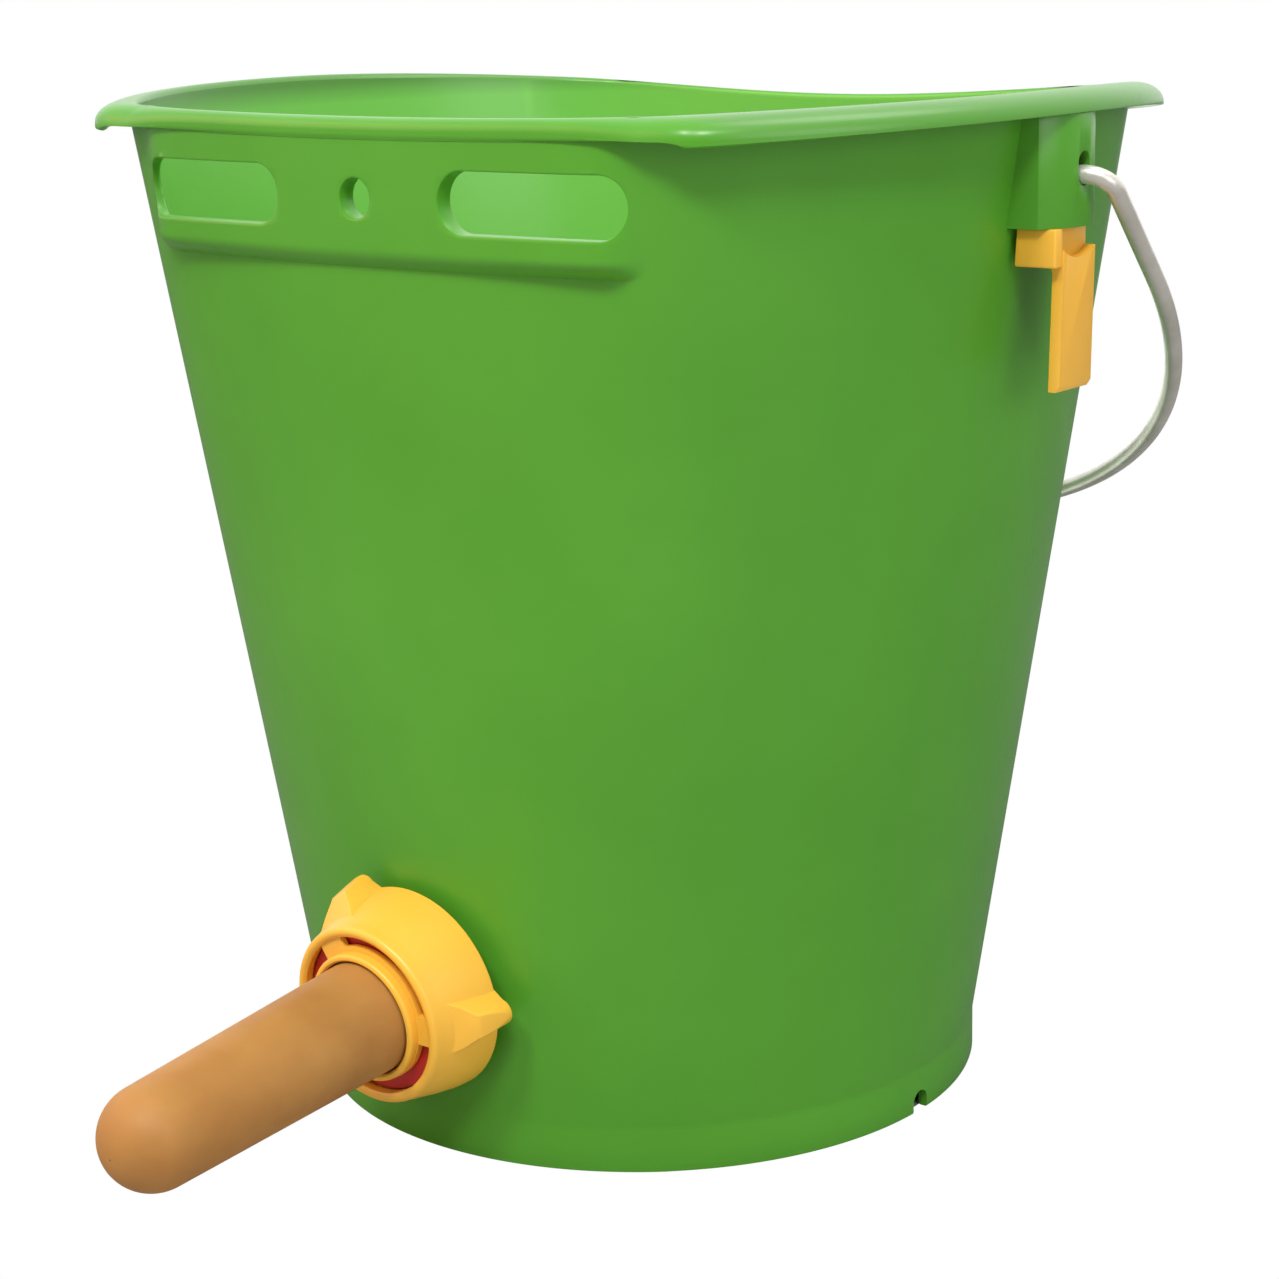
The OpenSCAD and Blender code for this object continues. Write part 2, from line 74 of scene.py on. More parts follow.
WALL_SLOPE = (FRONT_Y - BASE_R) / (RIM_H - FOOT_H)
VALVE_Y = BASE_R + WALL_SLOPE * (VALVE_Z - FOOT_H)
NUT_BACK = TURN_CLEAR + LUG_R * abs(math.tan(math.radians(VALVE_TILT) - math.atan(WALL_SLOPE)))
NUT_FACE_U = NUT_LEN - NUT_FRONT_T
NUT_BORE = CAM_R + TURN_CLEAR
CUP_U = SPIGOT_LEN + SEAL_T
CUP_END = NUT_FACE_U - TURN_CLEAR
POCKET_X = EAR_X - EAR_T - POCKET_D
THIRDS = (0, 120, 240)  # the valve's cams, windows and lugs


def mix(a, b, t):
    return a + (b - a) * t


def clamp(t):
    return max(0.0, min(1.0, t))


def smooth(t):
    t = clamp(t)
    return t * t * (3 - 2 * t)


def along(t, marks, values):
    """Value at t on the straight stretches between the marks."""
    for a, b, p, q in zip(marks, marks[1:], values, values[1:]):
        if t <= b:
            return mix(p, q, (t - a) / (b - a))
    return values[-1]


def arc(cx, cy, r, start, stop, count):
    """Points on an arc, with the angles in degrees."""
    turns = [math.radians(mix(start, stop, i / count)) for i in range(count + 1)]
    return [(cx + r * math.cos(t), cy + r * math.sin(t)) for t in turns]


def shift(x, y, z):
    return Matrix.Translation((x, y, z))


def rotate(degrees, axis):
    return Matrix.Rotation(math.radians(degrees), 4, axis)


MIRROR = Matrix.Scale(-1, 4, (1, 0, 0))
# Prisms that stand on Z are laid along X or Y by these
ALONG_X = Matrix(((0, 0, 1, 0), (1, 0, 0, 0), (0, 1, 0, 0), (0, 0, 0, 1)))
ALONG_Y = Matrix(((1, 0, 0, 0), (0, 0, -1, 0), (0, 1, 0, 0), (0, 0, 0, 1)))
ON_VALVE = shift(0, -VALVE_Y, VALVE_Z) @ rotate(90 + VALVE_TILT, "X")


# Meshes

WELD = 1e-4
CREASE = 38  # edges that turn by more are drawn sharp


def everything(bm):
    return bm.verts[:] + bm.edges[:] + bm.faces[:]


def verts_of(geom):
    return [g for g in geom if isinstance(g, bmesh.types.BMVert)]


def edges_of(geom):
    return [g for g in geom if isinstance(g, bmesh.types.BMEdge)]


def put_chain(bm, points):
    """A chain of edges through the points."""
    verts = [bm.verts.new(p) for p in points]
    return verts, [bm.edges.new(pair) for pair in zip(verts, verts[1:])]


def spun(points, steps=96, closed=True, angle=math.tau):
    """A solid of revolution around Z from a profile of radius and height."""
    bm = bmesh.new()
    verts, edges = put_chain(bm, [(r, 0, z) for r, z in points])
    if closed:
        edges.append(bm.edges.new((verts[-1], verts[0])))
    bmesh.ops.spin(bm, geom=verts + edges, cent=(0, 0, 0), axis=(0, 0, 1), angle=angle,
                   steps=steps, use_merge=angle == math.tau)
    bmesh.ops.remove_doubles(bm, verts=bm.verts, dist=WELD)
    bmesh.ops.recalc_face_normals(bm, faces=bm.faces)
    return bm


def extruded(points, depth):
    """A prism over an outline in XY, from Z = 0 up to the depth."""
    bm = bmesh.new()
    face = bm.faces.new([bm.verts.new((x, y, 0)) for x, y in points])
    top = bmesh.ops.extrude_face_region(bm, geom=[face])["geom"]
    bmesh.ops.translate(bm, vec=(0, 0, depth), verts=verts_of(top))
    bmesh.ops.recalc_face_normals(bm, faces=bm.faces)
    return bm


def moved(bm, matrix):
    bmesh.ops.transform(bm, matrix=matrix, verts=bm.verts)
    if matrix.determinant() < 0:
        bmesh.ops.reverse_faces(bm, faces=bm.faces)
    return bm


def joined(*parts):
    """One mesh out of several."""
    whole = bmesh.new()
    for part in parts:
        mesh = bpy.data.meshes.new("part")
        part.to_mesh(mesh)
        part.free()
        whole.from_mesh(mesh)
        bpy.data.meshes.remove(mesh)
    return whole


def as_object(bm, name):
    mesh = bpy.data.meshes.new(name)
    bm.to_mesh(mesh)
    bm.free()
    obj = bpy.data.objects.new(name, mesh)
    bpy.context.scene.collection.objects.link(obj)
    return obj


def cut(bm, *tools):
    """The mesh with the tools cut out of it."""
    target = as_object(bm, "target")
    others = [as_object(tool, "tool") for tool in tools]
    for other in others:
        step = target.modifiers.new("cut", "BOOLEAN")
        step.operation = "DIFFERENCE"
        step.solver = "EXACT"
        step.object = other
    graph = bpy.context.evaluated_depsgraph_get()
    result = bmesh.new()
    result.from_object(target, graph)
    for obj in [target] + others:
        mesh = obj.data
        bpy.data.objects.remove(obj)
        bpy.data.meshes.remove(mesh)
    bmesh.ops.remove_doubles(result, verts=result.verts, dist=WELD)
    return result


def round_edges(bm, size, segments=2, least=30, choose=None):
    """Bevels the edges that turn by more than the least angle."""
    edges = [e for e in bm.edges if e.is_manifold and math.degrees(e.calc_face_angle(0)) > least
             and (choose is None or choose(e))]
    bmesh.ops.bevel(bm, geom=edges, offset=size, segments=segments, profile=0.5, affect="EDGES",
                    clamp_overlap=True, material=-1)
    return bm


def piece(bm, name, look, body, slot, *nodes):
    """Turns a mesh in millimetres into a piece of the scene that rides a body."""
    bmesh.ops.scale(bm, vec=(MM, MM, MM), verts=bm.verts)
    for face in bm.faces:
        face.smooth = True
    for edge in bm.edges:
        edge.smooth = not edge.is_manifold or math.degrees(edge.calc_face_angle(0)) < CREASE
    obj = as_object(bm, name)
    obj.data.materials.append(look)
    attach(obj, body)
    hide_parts(*nodes)


# Shader nodes

MIX_A, MIX_B, MIX_OUT = 6, 7, 2  # the colour sockets of a mix node


def feed(tree, socket, value):
    """Links a socket to an output, or sets it to a plain value."""
    if isinstance(value, bpy.types.NodeSocket):
        tree.links.new(value, socket)
    else:
        socket.default_value = value


def node(tree, kind, values=None, **settings):
    made = tree.nodes.new(kind)
    for key, value in settings.items():
        setattr(made, key, value)
    for key, value in (values or {}).items():
        feed(tree, made.inputs[key], value)
    return made


def ramp(tree, value, low, high, to=(0.0, 1.0)):
    """The value's place between low and high, as a place in the range to."""
    values = {"Value": value, "From Min": low, "From Max": high, "To Min": to[0], "To Max": to[1]}
    return node(tree, "ShaderNodeMapRange", values).outputs["Result"]


def maths(tree, operation, *values):
    made = node(tree, "ShaderNodeMath", dict(enumerate(values)), operation=operation)
    return made.outputs["Value"]


def dot(tree, a, b):
    made = node(tree, "ShaderNodeVectorMath", {0: a, 1: b}, operation="DOT_PRODUCT")
    return made.outputs["Value"]


def outward(tree, place):
    """Level direction from the bucket's axis to a place."""
    level = node(tree, "ShaderNodeVectorMath", {0: place, 1: (1, 1, 0)}, operation="MULTIPLY")
    unit = node(tree, "ShaderNodeVectorMath", {0: level.outputs["Vector"]}, operation="NORMALIZE")
    return unit.outputs["Vector"]


def blend(tree, share, first, second):
    """Colour between two, of which each is an output or a plain colour."""
    made = node(tree, "ShaderNodeMix", {"Factor": share}, data_type="RGBA")
    for key, value in ((MIX_A, first), (MIX_B, second)):
        feed(tree, made.inputs[key], (*value, 1) if isinstance(value, tuple) else value)
    return made.outputs[MIX_OUT]


def blank_material(name):
    """A material without nodes apart from its output, with its tree and the surface's socket."""
    made = bpy.data.materials.new(name)
    made.use_nodes = True
    tree = made.node_tree
    tree.nodes.clear()
    return made, tree, tree.nodes.new("ShaderNodeOutputMaterial").inputs["Surface"]


# Materials

TONE_SPAN = (0.3, 0.7)  # of the broad noise, between the dark and the light colour
SCUFF_SPAN = (0.62, 0.74)  # of the scuffs' noise, from bare to scuffed
SCUFF_ROUGH = 0.2  # how much rougher a scuff is
GRAIN_DEPTH = 0.0004
PAINTED_INSIDE_LIGHT_SPAN = (-0.64, -0.76)  # outward way times normal: from the outside's colour to the lighter inside one, painted light inside the bucket
PAINTED_SHEEN_RISE = ((RIM_H - EDGE_H - 0.8) * MM, RIM_H * MM)  # heights between which the painted sheen on top of the rim comes in
PAINTED_SHEEN_BACK = (-0.098, -0.090)  # the same from the front edge backwards, along Y


def wear_group():
    """Broad tone, fine grain and faint scuffs on a vector."""
    tree = bpy.data.node_groups.new("wear", "ShaderNodeTree")
    sockets = [("Vector", "INPUT", "NodeSocketVector")]
    sockets += [(name, "INPUT", "NodeSocketFloat") for name in ("Broad", "Grain", "Scuffs")]
    sockets += [(name, "OUTPUT", "NodeSocketFloat") for name in ("Tone", "Grain", "Scuff")]
    for name, way, kind in sockets:
        tree.interface.new_socket(name=name, in_out=way, socket_type=kind)
    start, end = tree.nodes.new("NodeGroupInput"), tree.nodes.new("NodeGroupOutput")

    def noise(scale, detail, roughness, distortion=0.0):
        values = {"Vector": start.outputs["Vector"], "Scale": start.outputs[scale],
                  "Detail": detail, "Roughness": roughness, "Distortion": distortion}
        return node(tree, "ShaderNodeTexNoise", values).outputs["Fac"]

    feed(tree, end.inputs["Tone"], noise("Broad", 3.0, 0.55))
    feed(tree, end.inputs["Grain"], noise("Grain", 4.0, 0.6))
    feed(tree, end.inputs["Scuff"], ramp(tree, noise("Scuffs", 6.0, 0.7, 0.8), *SCUFF_SPAN))
    return tree


WEAR = wear_group()


def material(name, light, dark, rough, bump, broad=14, grain=900, scuffs=60, wear=0.5,
             inside=None, painted_sheen=None, **surface):
    """A surface whose tone drifts between two colours, with grain in its gloss and relief.

    A lighter colour where the surface faces the axis is painted light inside the bucket, and a
    greyer colour on top of the rim is a painted sheen.
    """
    made, tree, out = blank_material(name)
    place = tree.nodes.new("ShaderNodeTexCoord").outputs
    scales = {"Vector": place["Object"], "Broad": broad, "Grain": grain, "Scuffs": scuffs}
    signs = node(tree, "ShaderNodeGroup", scales, node_tree=WEAR).outputs
    colour = blend(tree, ramp(tree, signs["Tone"], *TONE_SPAN), dark, light)
    # Painted light: a lighter colour where the surface faces the axis stands in for the light inside
    # the bucket
    if inside:
        facing = dot(tree, outward(tree, place["Object"]), place["Normal"])
        colour = blend(tree, ramp(tree, facing, *PAINTED_INSIDE_LIGHT_SPAN), colour, inside)
    # Painted sheen: a greyer colour on top of the rim stands in for the whitish reflection there
    if painted_sheen:
        axes = node(tree, "ShaderNodeSeparateXYZ", {0: place["Object"]}).outputs
        high, back = ramp(tree, axes["Z"], *PAINTED_SHEEN_RISE), ramp(tree, axes["Y"], *PAINTED_SHEEN_BACK)
        colour = blend(tree, maths(tree, "MULTIPLY", high, back), colour, painted_sheen)
    gloss = ramp(tree, signs["Grain"], 0.0, 1.0, rough)
    worn = maths(tree, "MULTIPLY_ADD", signs["Scuff"], wear * SCUFF_ROUGH, gloss)
    relief = node(tree, "ShaderNodeBump", {"Height": signs["Grain"], "Strength": bump,
                                           "Distance": GRAIN_DEPTH}).outputs["Normal"]
    shade = node(tree, "ShaderNodeBsdfPrincipled",
                 {"Base Color": colour, "Roughness": worn, "Normal": relief, **surface})
    feed(tree, out, shade.outputs["BSDF"])
    return made


# The inside colour is painted light: a lighter green where the wall faces the axis, for the light
# inside the bucket
GREEN = material("green_plastic", (0.080, 0.306, 0.022), (0.067, 0.272, 0.017), (0.26, 0.36), 0.03,
                 # the second colour is a painted sheen: a greyer green on top of the rim, for the
                 # whitish reflection there
                 inside=(0.150, 0.462, 0.066), painted_sheen=(0.088, 0.248, 0.044),
                 **{"Specular IOR Level": 0.4})
YELLOW = material("yellow_plastic", (0.880, 0.478, 0.050), (0.800, 0.415, 0.036), (0.30, 0.42), 0.04)
RED = material("red_plastic", (0.600, 0.020, 0.015), (0.480, 0.012, 0.010), (0.30, 0.42), 0.04)
TAN = material("tan_rubber", (0.445, 0.215, 0.055), (0.355, 0.154, 0.034), (0.46, 0.62), 0.10,
               broad=40, scuffs=110, wear=0.8,
               **{"Specular IOR Level": 0.3, "Subsurface Weight": 0.3, "Subsurface Scale": 0.006,
                  "Subsurface Radius": (1.0, 0.35, 0.15)})
BLACK = material("black_rubber", (0.020, 0.020, 0.021), (0.010, 0.010, 0.010), (0.5, 0.65), 0.10)
WIRE = material("bail_wire", (0.800, 0.770, 0.700), (0.640, 0.610, 0.545), (0.26, 0.44), 0.10,
                broad=90, grain=1500, Metallic=0.65)


# The shell: one nominal profile spun around the axis, then drawn out to the flattened plan.
# On the profile u is the distance from the wall's outer face and w the height.

PLAN_R, STEPS = 100.0, 600  # radius of the spun wall, and columns in a full turn
LIP_SIDE_R = SIDE_R + LIP_OUT
TOP = RIM_H + RIM_RISE
LEVEL, STEADY, STEADY_DIP = 200.0, 253.0, 14.0  # rows are level up to the first, then follow the rim
# Roundings of the rim's outer and inner edge: on the profile, and across and down at the sides
BROW, SIDE_BROW, BROW_RATE = 2.65, (7.4, 5.0), 1.3
CREST, SIDE_CREST = 1.3, (3.4, 8.5)
CREST_FROM, CREST_SPAN = 0.85, 0.5  # radians off the front between which the inner edge grows
HOLLOW_LEAST, HOLLOW_SPAN = 0.06, 4.0  # how the flange becomes hollow as it comes away from the wall
FILLET_R = 4.0  # between the floor and the wall's inside
FILLET_IN = WALL_T + FILLET_R
FLOOR_MID = -50.0  # a row halfway to the axis
INNER_SKIN, OUTER_SKIN, LIP_FACE = -1.0, 0.5, LIP_OUT - 1.5  # limits of u on each skin
LIP_LEAST = 0.02  # how far the flange stays off the wall where they meet
FOOT_EDGE = 0.6
FOOT_ROWS = [FOOT_EDGE, 6, 11, 12, 13] + [28 + 16 * i for i in range(12)] + [218, 224, 227.5, 228.6]
BAND_ROWS = [229 + 0.6 * i for i in range(9)] + [234.6, 235.5, 236.3, 237.1]
RIM_ROWS = [255, 258, 261, TOP - 4.2]
FOOT_ROUND = [(-2.4, 0.15), (-2.0, 0), (-FOOT_EDGE, 0), (-0.15, 0.15)]
# The flange's underside and hanging edge: inwards from its outer face, and down from the top
ROLL = [(3.5, RIM_T), (2.3, RIM_T + 0.2), (1.8, RIM_T + 0.8), (1.8, 4.7), (1.95, 5.2), (2.3, 5.6),
        (2.4, 6.1), (2.1, 6.55), (1.4, LIP_H), (0.7, 6.65), (0.2, 6.2), (0, 5.6), (0, 4.3), (0, 3.2)]
SLOT_IN, SLOT_OUT = SLOT_X - SLOT_LEN / 2, SLOT_X + SLOT_LEN / 2
SLOT_LOW, SLOT_HIGH = SLOT_Z - SLOT_H / 2, SLOT_Z + SLOT_H / 2
HOLE_LOW, HOLE_HIGH = SLOT_Z - HOLE_R, SLOT_Z + HOLE_R
# Columns at the edges of the hole and the slots, at the corner and at the side, off the middle
HOLE_COL, IN_COL, OUT_COL, TURN_COL, SIDE_COL = 5, 24, 72, 112, 150
TURN_OFF = math.radians(52)
WINDOW_COLS, WINDOW_EDGE = 6, 3.0  # columns and millimetres around the windows that give way
ROUND_SPAN = 2.0  # over which the round ends fade into the rows and columns
STRAIGHT_COL, STRAIGHT_SPAN = 2, 20  # columns past the slots over which the skins' columns part
WINDOW_ROUND, WINDOW_Y = 0.45, -90  # the windows' edges: rounding, and what lies in front


def nearer(a, b, n):
    """Radius that runs smoothly from a to b, whichever is smaller."""
    return (a ** -n + b ** -n) ** (-1 / n)


def bowed(off, y):
    """Distance to a shallow arc in front of the axis, at an angle off the front."""
    c = FRONT_BOW - y
    return math.sqrt(FRONT_BOW ** 2 - (c * math.sin(off)) ** 2) - c * math.cos(off)


def wall_r(off):
    return nearer(SIDE_R, bowed(off, FRONT_Y), CORNER_SHARP)


def lip_r(off):
    return nearer(LIP_SIDE_R, bowed(off, FRONT_Y + LIP_FRONT), LIP_SHARP)


def band_r(off):
    return nearer(SIDE_R + BAND_Y - FRONT_Y, bowed(off, BAND_Y), CORNER_SHARP)


def turn_at(x):
    """Angle off the front at which the face of the band is x from the middle."""
    low, high = 0.0, math.pi / 2
    for _ in range(36):
        mid = (low + high) / 2
        low, high = (mid, high) if band_r(mid) * math.sin(mid) < x else (low, mid)
    return low


class Column:
    """What the shell's formulas give at one angle off the front or the back."""

    def __init__(self, off, front):
        self.off = off
        self.wall, self.lip = wall_r(off), lip_r(off)
        fall = 0.0 if front else math.cos(off) ** 2
        self.rim = RIM_H + RIM_RISE * (self.wall * math.sin(off) / SIDE_R) ** 2 - RIM_DIP * fall
        self.steady = STEADY - STEADY_DIP * fall
        hollow = max(HOLLOW_LEAST, min(1.0, (self.lip - self.wall - LIP_FRONT) / HOLLOW_SPAN))
        self.under = mix(EDGE_H, RIM_T, hollow)
        side = min(1.0, (bowed(off, FRONT_Y + LIP_FRONT) / LIP_SIDE_R) ** LIP_SHARP)
        height = mix(LIP_SIDE_H, LIP_H, min(1.0, (self.lip * math.cos(off) / FRONT_Y) ** 2))
        self.drop = mix(EDGE_H, height, side)
        self.brow = [mix(BROW, size, min(1.0, BROW_RATE * hollow)) for size in SIDE_BROW]
        self.crest = [mix(CREST, size, smooth((off - CREST_FROM) / CREST_SPAN))
                      for size in SIDE_CREST]
        inset = BAND_HALF - self.wall * math.sin(off) if front else 0.0
        self.share = math.sin(math.pi / 2 * clamp(inset / BAND_FADE)) ** 2
        self.band = band_r(off)
        corner = 1 - clamp(inset / BAND_CORNER)
        self.step = BAND_Z + BAND_CORNER * (1 - math.sqrt(1 - corner ** 2))

    def radii(self, z):
        """Outer and inner radius of the wall at a height."""
        top = self.rim - self.under
        line = mix(BASE_R, self.wall, clamp((z - FOOT_H) / (top - FOOT_H)))
        raised = self.share * (1 - (1 - clamp((z - self.step) / BAND_STEP)) ** 2)
        return mix(line, self.band, raised), mix(line - WALL_T, self.band - BAND_T, raised)


COLUMNS = {}


def column_at(k, front):
    """Column of the shell, counted from the middle of the front or the back."""
    if (k, front) not in COLUMNS:
        if k <= OUT_COL:
            x = along(k, (0, HOLE_COL, IN_COL, OUT_COL), (0, HOLE_R, SLOT_IN, SLOT_OUT))
            off = turn_at(x)
        else:
            off = along(k, (OUT_COL, TURN_COL, SIDE_COL), (turn_at(SLOT_OUT), TURN_OFF, math.pi / 2))
        COLUMNS[k, front] = Column(off, front)
    return COLUMNS[k, front]


def rounded_off(x, z, cx, half):
    """Moves a point near a square opening so that the opening's end becomes round."""
    dx, dz = x - cx, z - SLOT_Z
    square, true = max(abs(dx), abs(dz)), math.hypot(dx, dz)
    if true < 1e-6:
        return x, z
    grow = mix(square, true, clamp((square - half) / ROUND_SPAN)) / true
    return cx + dx * grow, SLOT_Z + dz * grow


def windowed(x, z):
    """Place of a point near the hole or a slot, once their ends are round."""
    half = SLOT_H / 2
    if x < HOLE_R + WINDOW_EDGE:
        return rounded_off(x, z, 0, HOLE_R)
    if x > SLOT_OUT - half:
        return rounded_off(x, z, SLOT_OUT - half, half)
    if x < SLOT_IN + half:
        return rounded_off(x, z, SLOT_IN + half, half)
    return x, z


def height_at(col, u, w):
    """Height on the finished shell of a point of the profile."""
    depth = TOP - w
    if w <= LEVEL:
        return w
    if w <= STEADY:
        return mix(LEVEL, col.steady, (w - LEVEL) / (STEADY - LEVEL))
    if u < 0 and depth <= CREST:
        return col.rim - depth * col.crest[1] / CREST
    if u < INNER_SKIN:
        return mix(col.steady, col.rim, (w - STEADY) / (TOP - STEADY))
    if depth <= BROW:
        return col.rim - depth * col.brow[1] / BROW
    if u > LIP_FACE:
        return col.rim - mix(col.brow[1], col.drop, (depth - BROW) / (LIP_H - BROW))
    if u < OUTER_SKIN:
        return mix(col.steady, col.rim - col.under, (w - STEADY) / (TOP - RIM_T - STEADY))
    return col.rim - mix(col.under, col.drop, (depth - RIM_T) / (LIP_H - RIM_T))


def radius_at(col, u, w, outer, inner):
    """Distance from the axis on the finished shell of a point of the profile."""
    depth = TOP - w
    if u < -FILLET_IN:
        return (inner - FILLET_R) * (PLAN_R + u) / (PLAN_R - FILLET_IN)
    if u < -WALL_T:
        return inner + u + WALL_T
    if w > STEADY and depth <= BROW and u >= LIP_OUT - BROW:
        return col.lip - (LIP_OUT - u) * col.brow[0] / BROW
    if w > STEADY and depth <= CREST and u < 0:
        return inner + (u + WALL_T) * col.crest[0] / CREST
    if w > STEADY and depth <= CREST:
        across = (u + CREST) / (LIP_OUT - BROW + CREST)
        return mix(inner + col.crest[0], col.lip - col.brow[0], across)
    if u <= 0:
        return mix(outer, inner, -u / WALL_T)
    return max(col.lip - LIP_OUT + u, outer + LIP_LEAST * u)


def moulded(co):
    """Place on the finished shell of a point on the spun one."""
    plan, w = math.hypot(co.x, co.y), round(co.z, 3)
    u = round(plan - PLAN_R, 3)
    front, sx, sy = co.y < 0, 1 if co.x >= 0 else -1, 1 if co.y >= 0 else -1
    k = round(math.degrees(math.atan2(abs(co.x), abs(co.y))) * STEPS / 360) if plan > 1e-6 else 0
    col = column_at(k, front)
    z = height_at(col, u, w)
    by_windows = k <= OUT_COL + WINDOW_COLS and SLOT_LOW - WINDOW_EDGE < w < SLOT_HIGH + WINDOW_EDGE
    if front and by_windows and u < OUTER_SKIN:
        x, z = windowed(col.band * math.sin(col.off), z)
        col = Column(turn_at(x), front)
    outer, inner = col.radii(z)
    r = radius_at(col, u, w, outer, inner)
    straight = 0.0  # share by which the inner skin keeps the outer one's X, as the windows' ends do
    if front and -WALL_T <= u <= 0:
        straight = 1 - smooth((k - OUT_COL - STRAIGHT_COL) / STRAIGHT_SPAN)
    x = mix(r, outer, straight) * math.sin(col.off)
    return Vector((sx * x, sy * r * math.cos(col.off), z))


def shell_profile():
    """Points of u and w, from the middle of the floor's underside round to its upper side."""
    rows = FOOT_ROWS + BAND_ROWS
    rows += [mix(SLOT_LOW, HOLE_LOW, i / 3) for i in range(3)]
    rows += [mix(HOLE_LOW, HOLE_HIGH, i / 12) for i in range(12)]
    rows += [mix(HOLE_HIGH, SLOT_HIGH, i / 3) for i in range(4)] + [STEADY]
    under = [(0.15, TOP - 3.6), (0.5, TOP - 3.15), (1.2, TOP - RIM_T)]
    brow = [(BROW - a, BROW - b) for a, b in arc(0, 0, BROW, 0, 90, 10)]
    lip = [(LIP_OUT - inward, TOP - depth) for inward, depth in ROLL + brow]
    top = [(3.4, TOP), (1.0, TOP)]
    top += [(-WALL_T + CREST - a, TOP - CREST + b) for a, b in arc(0, 0, CREST, 90, 0, 10)]
    # The inner skin does without the foot's rows and most of those at the band's step
    down = [z for z in reversed(rows) if z > 236 or FLOOR_Z + 5 < z < 230 or 232 < z < 233]
    fillet = [(-FILLET_IN + a, FLOOR_Z + FILLET_R + b) for a, b in arc(0, 0, FILLET_R, 0, -90, 5)]
    base = FLOOR_Z - FLOOR_T
    foot = [(u, base) for u in (-PLAN_R, FLOOR_MID, -FILLET_IN, -3.4)]
    foot += [(-WALL_T, base - 1), (-WALL_T, FOOT_EDGE)] + FOOT_ROUND
    return (foot + [(0, z) for z in rows + RIM_ROWS] + under + lip + top
            + [(-WALL_T, z) for z in down] + fillet + [(FLOOR_MID, FLOOR_Z), (-PLAN_R, FLOOR_Z)])


def open_windows(bm):
    """Takes the faces of the slots and the round hole out of both skins and walls in the gaps."""
    windows = [(-HOLE_COL, HOLE_COL, HOLE_LOW, HOLE_HIGH), (IN_COL, OUT_COL, SLOT_LOW, SLOT_HIGH),
               (-OUT_COL, -IN_COL, SLOT_LOW, SLOT_HIGH)]
    for left, right, low, high in windows:
        gone = []
        for face in bm.faces:
            mid = face.calc_center_median()
            if mid.y < 0 and low < mid.z < high:
                k = math.degrees(math.atan2(mid.x, -mid.y)) * STEPS / 360
                if left < k < right:
                    gone.append(face)
        lost = set(gone)
        rim = list({e for f in gone for e in f.edges if any(g not in lost for g in e.link_faces)})
        bmesh.ops.delete(bm, geom=gone, context="FACES_ONLY")
        bmesh.ops.delete(bm, geom=[e for e in bm.edges if not e.link_faces], context="EDGES")
        bmesh.ops.bridge_loops(bm, edges=[e for e in rim if e.is_valid])
        bmesh.ops.delete(bm, geom=[v for v in bm.verts if not v.link_faces], context="VERTS")


EAR_AHEAD, EAR_BEHIND = EAR_W / 2 + 1.5, EAR_W / 2 + 2.2  # wider than the solid, as photographed
EAR_ROOT, EAR_FREE = 121.0, 124.0  # where the block starts, and from where it is clear of the wall
EAR_SINK = 0.15  # below the underside of the flange
EAR_FALL, EAR_FALL_FROM, EAR_FALL_SPAN = 2.2, 130.0, 5.0  # its top drops under the flange's rounding
EAR_ROUND = 0.5
HOLE_IN, HOLE_LONG = 6, 8  # the wire's hole: start behind the ear's face, and length


def pocket_plan(half, radius, x):
    """Outline of the ear's pocket or of the plug in it."""
    lean = math.degrees(math.asin(half / radius))
    return [(x, -half)] + arc(EAR_X - EAR_BOW, 0, radius, -lean, lean, 12) + [(x, half)]


def ear():
    """Block under the rim with a bowed face, a pocket from below and the tall hole for the wire."""
    first, last = (math.degrees(math.asin(w / EAR_BOW)) for w in (-EAR_AHEAD, EAR_BEHIND))
    block = extruded([(EAR_ROOT, -EAR_AHEAD)] + arc(EAR_X - EAR_BOW, 0, EAR_BOW, first, last, 18)
                     + [(EAR_ROOT, EAR_BEHIND)], TOP - EAR_Z - RIM_T - EAR_SINK)
    pocket = extruded(pocket_plan(POCKET_W / 2, EAR_BOW - EAR_T, POCKET_X), POCKET_H + 1)
    moved(pocket, shift(0, 0, -1))
    r = WIRE_R + WIRE_CLEAR
    hole = extruded(arc(0, 0, r, -90, 90, 14) + arc(-HOLE_RISE, 0, r, 90, 270, 14), HOLE_LONG)
    moved(hole, shift(EAR_X - HOLE_IN, 0, BAIL_Z - EAR_Z) @ rotate(90, "Y"))
    made = cut(block, pocket, hole)
    round_edges(made, EAR_ROUND, 2, 40, lambda e: all(v.co.x > EAR_FREE for v in e.verts))
    moved(made, shift(0, -EAR_FRONT, EAR_Z))
    side = column_at(SIDE_COL, True)
    for vert in made.verts:
        if vert.co.z > TOP - SIDE_BROW[1]:
            vert.co.z -= EAR_FALL * clamp((vert.co.x - EAR_FALL_FROM) / EAR_FALL_SPAN)
        if vert.co.x < EAR_FREE:
            middle = sum(side.radii(vert.co.z)) / 2
            vert.co.x = math.sqrt(middle ** 2 - vert.co.y ** 2)
    return made


SPIGOT_ROOT, SPIGOT_PAD, SPIGOT_PAD_R = -1.6, 0.3, SPIGOT_R + 3  # the pad that joins it to the wall
BORE_FROM, BORE_TO = -14, 6  # the bore through the wall, along the valve
NOTCH_Z, NOTCH_IN, NOTCH_LONG = 2.6, 8, 16  # the drain notches in the foot ring


